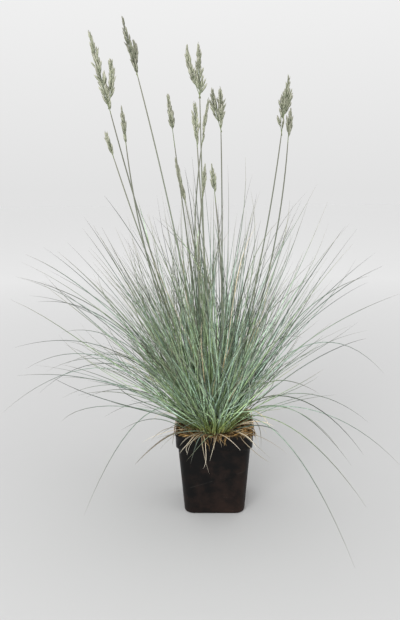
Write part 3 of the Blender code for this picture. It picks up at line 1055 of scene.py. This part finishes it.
# %% [markdown]
# Straw may not sink into the pot. Its points are lifted to the peat inside the rim, and to the bead on top
# of the rim. A piece that reaches past the rim bends down round it.

# %% How straw lies
RIM_HALF = 0.0464
BEAD_INSIDE = 0.0425
BEAD_OUTSIDE = 0.0468


def square_reach(points):
    """How far points lie from the pot's axis, measured as on a square: the larger of |x| and |y|."""
    return np.abs(points[..., :2]).max(axis=-1)


def rest_on_pot(lines, lift):
    """Points over the pot rise to the crust, or to the bead near the rim, plus a lift for each strand."""
    reach = square_reach(lines)
    ground = np.where(reach < BEAD_INSIDE, PEAT_LEVEL + 0.0006, POT_HEIGHT + 0.0004)
    ground = np.where(reach < BEAD_OUTSIDE, ground, -1.0)
    lines[..., 2] = np.maximum(lines[..., 2], ground + lift[:, None])
    return lines


def drape(lines):
    """Of the way that a point goes past the rim, it keeps a fifth, and nine tenths are taken off its
    height."""
    reach = square_reach(lines)
    over = np.maximum(reach - RIM_HALF, 0.0)
    lines[..., :2] *= ((reach - 0.8 * over) / reach)[..., None]
    lines[..., 2] -= 0.9 * over
    return lines


def straw_strands(name, lines, half, tone, node_names=()):
    """Skins straw lines as flat blades, each turned by chance about its own line."""
    count, stations = lines.shape[:2]
    taper = np.clip(1.12 - np.linspace(0, 1, stations) ** 4, 0.15, 1.0)
    wide = half[:, None] * taper[None, :]
    sides = RNG.normal(0, 1, (count, 1, 3))
    return add_strands(name, lines, sides, wide, wide * 0.5, tone, STRAW, list(node_names))


print("the peat is", round(1000 * (POT_HEIGHT - PEAT_LEVEL), 1), "mm below the rim")

# %% [markdown]
# The pale dead leaves come first. Some follow the model's straw rods, and others are single arcs at the
# rim. The list gives three points of each arc in centimetres: its root, its middle and its tip.

# %% Pale straw
STRAW_STATIONS = 16
ARC_STATIONS = 18
STRAW_WAVER = 0.003
STRAW_ARCS = (
    (-3.5, -2.5, 10.4, -5.5, -4.5, 10.9, -7.1, -6, 10.1), (-2.8, -3.5, 9.9, -5.1, -6, 10.8, -8.4, -7.5, 8.3),
    (-1.8, -4, 10.3, -2.9, -5.2, 9.9, -3.9, -6, 8.6), (-1.4, -4.4, 10.2, -1.2, -5.5, 8.6, -0.6, -5.2, 5.9),
    (-1.3, -4.4, 10.2, -0.9, -5.6, 8.9, -1.5, -5.4, 6.8), (1.7, -3.5, 10.6, 3.6, -5, 10.2, 6.3, -5, 7.7),
    (2.6, -4.2, 10.3, 4.3, -5.5, 9, 6.4, -5.5, 7.8), (2.6, -2, 11.1, 4.9, -2, 10.8, 5.4, -3.5, 8.1),
    (3, -3, 10.5, 4.6, -3, 10.1, 5.1, -4, 8.5), (2.1, -1.5, 11.4, 4.6, -1.5, 12.1, 6.5, -2.5, 10.3),
    (-2.8, -2, 10.6, -5.5, -1, 11.5, -7.6, -1.5, 10.3), (-1, -4.4, 10.4, -2.7, -5.5, 9.7, -3.1, -5.6, 8.4),
    (1, 2, 10.4, 2.6, 4.6, 11.3, 3, 6.4, 8), (-1.6, 2.2, 10.3, -3.6, 4.4, 11, -4.6, 6, 8.4),
)


def add_straw_blades(node, count):
    """Dead blades round a model straw line: each is a part of it as long as chance says, and it drifts
    away from it by share^1.2."""
    spine = smooth_line(spine_of(node), STRAW_STATIONS)
    share = np.linspace(0, 1, STRAW_STATIONS)[None, :, None]
    away = RNG.normal(0, 1, (count, 1, 3)) * np.array([1.0, 1.0, 0.5]) * 0.010
    size = RNG.uniform(0.45, 0.85, (count, 1, 1))
    lines = spine[:1] + (spine[None] - spine[:1]) * size + away * share**1.2
    lines = rest_on_pot(waver(lines, STRAW_WAVER), RNG.uniform(0, 0.002, count))
    half = RNG.uniform(0.0004, 0.0008, count)
    tone = RNG.uniform(0.6, 1, count)
    return straw_strands(node.replace("straw_tuft", "straw_blades"), lines, half, tone, [node])


def add_straw_arcs():
    """The parabola through each row's three points at the shares 0, 0.5 and 1, with a little wave."""
    points = np.array(STRAW_ARCS).reshape(-1, 3, 3) / 100
    first, middle, last = points.transpose(1, 0, 2)[:, :, None, :]
    share = np.linspace(0.0, 1.0, ARC_STATIONS)[None, :, None]
    lines = first * (1 - share) * (1 - 2 * share) + middle * 4 * share * (1 - share)
    lines = lines + last * share * (2 * share - 1)
    count = len(lines)
    lines = rest_on_pot(waver(lines, STRAW_WAVER), RNG.uniform(0.0005, 0.002, count))
    half = RNG.uniform(0.0005, 0.0009, count)
    return straw_strands("straw_arcs", lines, half, RNG.uniform(0.6, 1, count))


straws = [add_straw_blades(node, 2) for node in names_like("straw_tuft")]
arcs = add_straw_arcs()
print("straw bundles:", len(straws), "arcs:", len(STRAW_ARCS), "faces:", faces_of(*straws, arcs))

# %% [markdown]
# The rusty straw is laid in two lots. The mat lies on the peat at all angles. The rest lies along the rim
# or hangs a little way over it, most of it at the front, right of the middle.

# %% Rusty straw
MAT_PIECES = 460
LIP_PIECES = 190


def lay_straw(name, roots, heading, leans, gains, lengths, trim, stations, sway, lifts, palest):
    """Straw from the roots, rested on the pot. Leans and gains are ranges in degrees, lengths and lifts in
    metres. Each length is multiplied by its trim, and palest is the highest tone."""
    count = len(roots)
    lean = np.radians(RNG.uniform(*leans, count))
    gain = np.radians(RNG.uniform(*gains, count))
    length = RNG.triangular(*lengths, count) * trim
    bend = np.radians(RNG.normal(0, sway, count))
    lines = drooping_lines(roots, heading, lean, gain, length, stations, bend)
    lines = drape(rest_on_pot(lines, RNG.uniform(*lifts, count)))
    half = RNG.uniform(0.0003, 0.0007, count)
    return straw_strands(name, lines, half, RNG.uniform(0, palest, count))


def add_straw_mat():
    """Roots on a ring about the pot's axis, headings within a wide scatter of straight outwards. Pieces
    near the rim are shorter, by 1.25 - reach / 6 cm."""
    turn = RNG.uniform(0, 2 * np.pi, MAT_PIECES)
    reach = RNG.uniform(0.020, 0.043, MAT_PIECES)
    level = PEAT_LEVEL + RNG.uniform(0.0005, 0.0030, MAT_PIECES)
    roots = np.stack([reach * np.cos(turn), reach * np.sin(turn), level], axis=1)
    heading = turn + np.radians(RNG.normal(0, 70, MAT_PIECES))
    return lay_straw("straw_mat", roots, heading, (80, 98), (10, 60), (0.006, 0.014, 0.030),
                     1.25 - reach / 0.06, 9, 40, (0, 0.0025), 0.58)


def add_lip_straw():
    """A point at a random azimuth is pushed out or in until it lies on a square near the rim, and the piece
    heads to the left or the right from there."""
    turn = np.radians(RNG.normal(-75, 50, LIP_PIECES))
    flat = np.stack([np.cos(turn), np.sin(turn)], axis=1)
    flat *= RNG.uniform(0.034, 0.044, (LIP_PIECES, 1)) / square_reach(flat)[:, None]
    roots = np.column_stack([flat, PEAT_LEVEL + RNG.uniform(0.001, 0.004, LIP_PIECES)])
    heading = turn + np.radians(RNG.uniform(25, 100, LIP_PIECES)) * RNG.choice([-1, 1], LIP_PIECES)
    return lay_straw("lip_straw", roots, heading, (70, 95), (0, 50), (0.005, 0.010, 0.024),
                     1.0, 14, 50, (0.0002, 0.0015), 0.56)


mat = add_straw_mat()
lip_straw = add_lip_straw()
print("mat pieces:", MAT_PIECES, "faces:", faces_of(mat))
print("pieces at the rim:", LIP_PIECES, "faces:", faces_of(lip_straw))

# %% [markdown]
# Each flowering stalk is one smooth tube. A cubic through the model's points removes their corners. The
# stalk swells a little at its joint, where the last leaf clasps it. That leaf is short, and it stands off
# the stalk like a flag.

# %% Stalks and flag leaves
STALK = ((0.0, (0.24, 0.28, 0.13)), (0.4, (0.22, 0.27, 0.19)), (0.7, (0.19, 0.21, 0.16)),
         (1.0, (0.19, 0.19, 0.14)))
STALKS = names_like("flower_stem")
STALK_STATIONS = 34
STALK_HALF_WIDTH = 0.00088
STALK_TAPER = 0.00020
STALK_TIP_TAPER = 0.00018
JOINT_SWELLING = 0.00022
JOINT_REACH = 0.012
TUBE_SIDE = np.array([[[1.0, 0.2, 0.0]]])


def stalk_material():
    """The colour runs along the stalk, a little lighter or darker from stalk to stalk."""
    material, tree, shader = new_material("flower_stalk", 0.5, 0.3)
    light = add_ramp(tree, add_number(tree, "tone"), ((0.0, 0.75), (1.0, 1.15)))
    colour = add_product(tree, add_ramp(tree, add_number(tree, "along"), STALK), light)
    tree.links.new(colour, shader.inputs["Base Color"])
    return material


STALK_FINISH = stalk_material()


def add_stalk(node):
    """A six-sided tube from 0.9 to 0.5 mm in radius, with a swelling at its joint that falls off as a bell
    curve."""
    line = smooth_line(spine_of(node), STALK_STATIONS)
    share = np.linspace(0, 1, STALK_STATIONS)
    joint = RNG.uniform(0.38, 0.55)
    half = STALK_HALF_WIDTH - STALK_TAPER * share - STALK_TIP_TAPER * share**20
    half = (half + JOINT_SWELLING * np.exp(-(((share - joint) / JOINT_REACH) ** 2)))[None, :]
    name = node.replace("flower_stem", "flower_stalk")
    return add_strands(name, line[None], TUBE_SIDE, half, half, RNG.uniform(0, 1, 1), STALK_FINISH, [node],
                       corners=6)


def add_flag_leaves():
    """One short leaf for each stalk: it starts on the stalk and leaves it at a small angle."""
    count = len(STALKS)
    stalk_lines = np.array([smooth_line(spine_of(node), STALK_STATIONS) for node in STALKS])
    start = RNG.integers(int(STALK_STATIONS * 0.35), int(STALK_STATIONS * 0.62), count)
    roots = stalk_lines[np.arange(count), start]
    heading = unit(stalk_lines[np.arange(count), start + 1] - roots)
    turn = np.arctan2(heading[:, 1], heading[:, 0]) + RNG.normal(0, 0.6, count)
    lean = np.arccos(heading[:, 2]) + np.radians(RNG.uniform(6, 20, count))
    gain = RNG.uniform(0, 0.4, count)
    lines = drooping_lines(roots, turn, lean, gain, RNG.uniform(0.05, 0.09, count), 10, np.zeros(count))
    half = np.full(count, BLADE_HALF_WIDTH * 0.9)
    return add_blades("flag_leaves", keep_inside(lines), turn, half, [], RNG.uniform(0.3, 0.9, count), LEAF)


stalks = [add_stalk(node) for node in STALKS]
flags = add_flag_leaves()
print("stalks:", len(stalks), "faces:", faces_of(*stalks), "and of their leaves:", faces_of(flags))

# %% [markdown]
# A fescue's flower head is a narrow panicle. Its axis carries short branches, and each branch carries
# spikelets. A young head is shut like a spike, and an older one opens in prongs. The list describes each
# head: how many spikelets stand on its axis, where along the axis the first one stands, how many degrees
# they lean off it, how dark they are, and then its prongs. Each prong has its place along the axis, how
# far it stands off to the left or right, and its length in metres.

# %% Head list and scale finish
SCALE_GREEN = ((0.0, (0.21, 0.24, 0.15)), (0.4, (0.37, 0.39, 0.28)), (0.8, (0.51, 0.51, 0.41)),
               (1.0, (0.61, 0.59, 0.50)))
SCALE_DARK = ((0.0, (0.09, 0.10, 0.065)), (0.4, (0.145, 0.15, 0.11)), (0.8, (0.24, 0.23, 0.185)),
              (1.0, (0.36, 0.33, 0.28)))
HEADS = {
    "01": (24, 0.20, 22, 0.45, ((0.04, -0.7, 0.010), (0.34, 0.5, 0.024), (0.30, -0.45, 0.022))),
    "02": (26, 0.06, 22, 0.35, ((0.08, -0.72, 0.044), (0.20, 0.4, 0.016))),
    "03": (12, 0.02, 10, 0.25, ()),
    "04": (28, 0.00, 9, 0.30, ()),
    "05": (22, 0.30, 15, 0.40, ()),
    "06": (14, 0.02, 14, 0.25, ()),
    "07": (52, 0.04, 25, 0.20, ((0.10, 1.15, 0.046),)),
    "08": (24, 0.02, 20, 0.30, ((0.02, -0.9, 0.052), (0.03, 1.0, 0.012))),
    "09": (24, 0.03, 16, 0.80, ((0.12, 0.6, 0.028),)),
    "10": (14, 0.02, 10, 0.50, ()),
    "11": (14, 0.02, 16, 0.20, ()),
    "12": (12, 0.00, 10, 0.30, ()),
    "13": (9, 0.20, 15, 0.35, ()),
    "14": (15, 0.10, 16, 0.60, ()),
}


def scale_material():
    """Pale green and dark scales mixed by tone, each with a papery tip."""
    material, tree, shader = new_material("spikelet_scale", 0.6, 0.25)
    colour = add_blend(tree, add_number(tree, "tone"), SCALE_GREEN, SCALE_DARK)
    tree.links.new(colour, shader.inputs["Base Color"])
    return material


SCALE_FINISH = scale_material()
print("heads:", len(HEADS), "spikelets on their axes:", sum(head[0] for head in HEADS.values()))

# %% [markdown]
# Spikelets stand round the axis of a head, left and right in turn, and each leans off it. So each needs a
# foot on the axis, a heading and a size, and two directions square to the axis to lean towards.

# %% Spikelet places


def two_across(heading):
    """Two unit vectors square to the heading: the first lies as near the X axis as it can."""
    first = unit(np.array([1.0, 0.0, 0.0]) - heading * heading[..., :1])
    return first, np.cross(heading, first)


def spikelet_places(line, count, stand_off, first, last):
    """Feet, headings and sizes of spikelets along an axis, left and right in turn with a little chance. The
    head is fullest below its middle: fullness is the sine of pi * share^0.75. It sets size and angle."""
    share = np.linspace(first, last, count)
    fullness = np.sin(np.pi * np.clip((share + 0.12) / (last + 0.2), 0, 1) ** 0.75)
    spot = np.clip(share + RNG.normal(0, 0.012, count), 0, 1) * (len(line) - 1)
    feet = np.stack([np.interp(spot, np.arange(len(line)), line[:, axis]) for axis in range(3)], axis=1)
    heading = unit(np.gradient(line, axis=0))[spot.astype(int)]
    across, over = two_across(heading)
    turn = np.arange(count) * np.pi + RNG.normal(0, 0.8, count)
    lean = np.radians(stand_off * RNG.uniform(0.5, 1.3, count)) * (0.15 + 0.85 * fullness)
    out = across * np.cos(turn)[:, None] + over * np.sin(turn)[:, None]
    way = unit(heading * np.cos(lean)[:, None] + out * np.sin(lean)[:, None])
    return feet, way, 0.62 + 0.45 * fullness


print("square to straight up:", [side.tolist() for side in two_across(np.array([0.0, 0.0, 1.0]))])

# %% [markdown]
# A spikelet is a flat stack of five overlapping scales, a little over a centimetre long, on a stem as thin
# as a hair. The scales lean out to left and right in turn. Every scale is one strand again.

# %% Scales
SCALE_STATIONS = 6
SCALES = 5
SCALE_LENGTH = 0.0068
SCALE_STEP = 0.0014
SCALE_LEAN = math.radians(11)
SCALE_CURL = 0.10
SCALE_HALF_WIDTH = 0.00118
HAIR_HALF_WIDTH = 0.00022
SPIKELET = SCALE_LENGTH + SCALES * SCALE_STEP


def scale_lines(feet, headings, sizes):
    """Each spikelet is a thin stem and a stack of scales. Scale i starts stem + i * SCALE_STEP along the
    heading and leans SCALE_LEAN out from it, left and right in turn, within one flat plane."""
    count = len(feet)
    across, over = two_across(headings)
    plane = RNG.uniform(0, np.pi, (count, 1))
    flat = across * np.cos(plane) + over * np.sin(plane)
    step = np.arange(SCALES)[None, :, None]
    side = np.where(step % 2 == 0, 1.0, -1.0) * flat[:, None, :]
    size = sizes[:, None, None]
    stem = RNG.uniform(0.0008, 0.0034, (count, 1, 1)) * size
    start = feet[:, None, :] + headings[:, None, :] * (stem + step * SCALE_STEP * size)
    way = unit(headings[:, None, :] * np.cos(SCALE_LEAN) + side * np.sin(SCALE_LEAN))
    way = np.concatenate([headings[:, None, :], way], axis=1)
    start = np.concatenate([feet[:, None, :], start], axis=1)
    side = np.concatenate([flat[:, None, :], side], axis=1)
    reach = SCALE_LENGTH * RNG.uniform(0.85, 1.15, (count, SCALES, 1)) * (1.1 - 0.05 * step) * size
    reach = np.concatenate([stem + 0.001, reach], axis=1)[:, :, None, :]
    share = np.linspace(0, 1, SCALE_STATIONS)[None, None, :, None]
    curl = side[:, :, None, :] * share**2 * reach * SCALE_CURL
    lines = start[:, :, None, :] + way[:, :, None, :] * share * reach - curl
    sides = np.broadcast_to(np.cross(way, side)[:, :, None, :], lines.shape)
    return lines.reshape(-1, SCALE_STATIONS, 3), sides.reshape(-1, SCALE_STATIONS, 3)


def scale_widths(sizes):
    """Half widths: a scale is widest before its middle and ends in a point, and a stem is even."""
    share = np.linspace(0, 1, SCALE_STATIONS)
    scale = np.interp(share, (0, 0.2, 0.45, 0.75, 1), (0.35, 0.9, 1.0, 0.55, 0.06)) * SCALE_HALF_WIDTH
    each = np.concatenate([np.full((1, SCALE_STATIONS), HAIR_HALF_WIDTH), np.tile(scale, (SCALES, 1))])
    return (each[None] * sizes[:, None, None]).reshape(-1, SCALE_STATIONS)


print("a full spikelet is", round(1000 * SPIKELET, 1), "mm long")

# %% [markdown]
# Now each head is put together. Spikelets are placed along its axis and along each prong, and all of them
# are skinned as one piece. The thin axes and prongs of all heads are one more piece.

# %% Flower heads
AXIS_STATIONS = 24
PRONG_SPACING = 0.0028
AXIS_OVERLAP = 0.003


def prong_line(line, share, side, length):
    """A side branch: it leaves the axis to one side by the sine of 1.5 * share, and rises beside it."""
    at = int(share * (len(line) - 1))
    heading = unit(line[at + 1] - line[at])
    across, _ = two_across(heading[None])
    step = np.linspace(0, 1, AXIS_STATIONS)[:, None]
    return line[at] + heading * step * length * 0.97 + across * side * length * 0.26 * np.sin(step * 1.5)


def head_axes(node):
    """The axis of a head and its prongs, as lines of the same number of points."""
    axis = smooth_line(spine_of(node), AXIS_STATIONS)
    return [axis] + [prong_line(axis, *prong) for prong in HEADS[node[-2:]][4]]


def add_panicle(node):
    """Spikelets along the axis and along each prong, joined in one piece."""
    count, first, stand_off, dark, _ = HEADS[node[-2:]]
    axis, *prongs = head_axes(node)
    last = 1.0 - 0.7 * SPIKELET / np.linalg.norm(axis[-1] - axis[0])
    found = [spikelet_places(axis, count, stand_off, first, last)]
    for prong in prongs:
        on_prong = max(3, round(np.linalg.norm(prong[-1] - prong[0]) / PRONG_SPACING))
        found.append(spikelet_places(prong, on_prong, stand_off * 0.8, 0.15, 0.88))
    feet, headings, sizes = (np.concatenate(parts) for parts in zip(*found))
    lines, sides = scale_lines(feet, headings, sizes)
    half = scale_widths(sizes) * RNG.uniform(0.8, 1.15, (len(lines), 1))
    tone = np.clip(dark + RNG.normal(0, 0.22, len(lines)), 0, 1)
    name = node.replace("flower_head", "panicle")
    return add_strands(name, lines, sides, half, half * 0.6, tone, SCALE_FINISH, [node])


def add_axes(nodes):
    """Thin tubes along the axes and prongs of all heads. Each starts a little early, inside its stalk."""
    lines = np.array([line for node in nodes for line in head_axes(node)])
    lines[:, 0] -= unit(lines[:, 1] - lines[:, 0]) * AXIS_OVERLAP
    half = np.broadcast_to(np.linspace(0.00048, 0.0002, AXIS_STATIONS), lines.shape[:2])
    tone = np.full(len(lines), 0.4)
    return add_strands("panicle_axes", lines, TUBE_SIDE, half, half, tone, STALK_FINISH, [])


FLOWERS = names_like("flower_head")
panicles = [add_panicle(node) for node in FLOWERS]
axes = add_axes(FLOWERS)
print("panicles:", len(panicles), "faces:", faces_of(*panicles), "and of their axes:", faces_of(axes))
